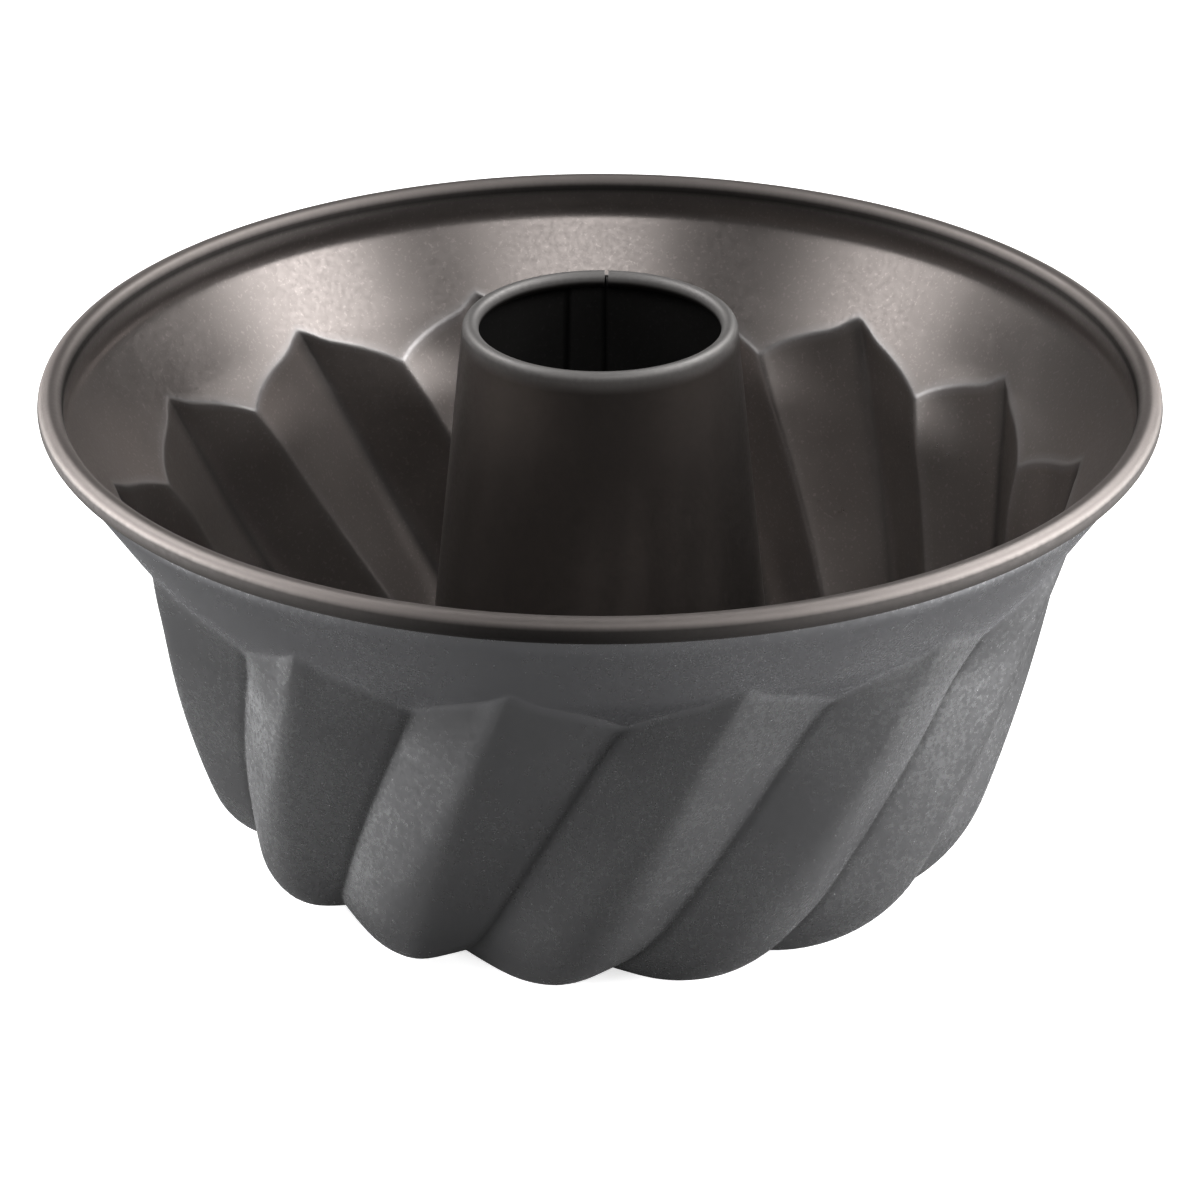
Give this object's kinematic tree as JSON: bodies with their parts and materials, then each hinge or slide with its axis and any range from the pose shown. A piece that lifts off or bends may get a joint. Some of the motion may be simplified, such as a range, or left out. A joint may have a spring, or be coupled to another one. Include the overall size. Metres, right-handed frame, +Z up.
{
  "type": "bundt pan",
  "caption": "Ring cake pan in dark non-stick steel: twisted fluted wall, flared collar, rolled wired rim and a conical centre tube standing above the rim.",
  "frame": {"origin": "on the pan's axis, in the plane its crests stand on", "axes": "+Z up along the pan's axis, out of its open mouth; +Y is the side the tube's lap seam lies on, +X to the right seen from the -Y side"},
  "size_m": [0.22, 0.22, 0.1145],
  "materials": {
    "nonstick_coat": "satin",
    "tube_coat": "satin",
    "bare_wire": "brushed"
  },
  "bodies": {
    "root": {"fluted_shell": "nonstick_coat", "centre_tube": "tube_coat", "rim_wire": "bare_wire"}
  },
  "joints": []
}
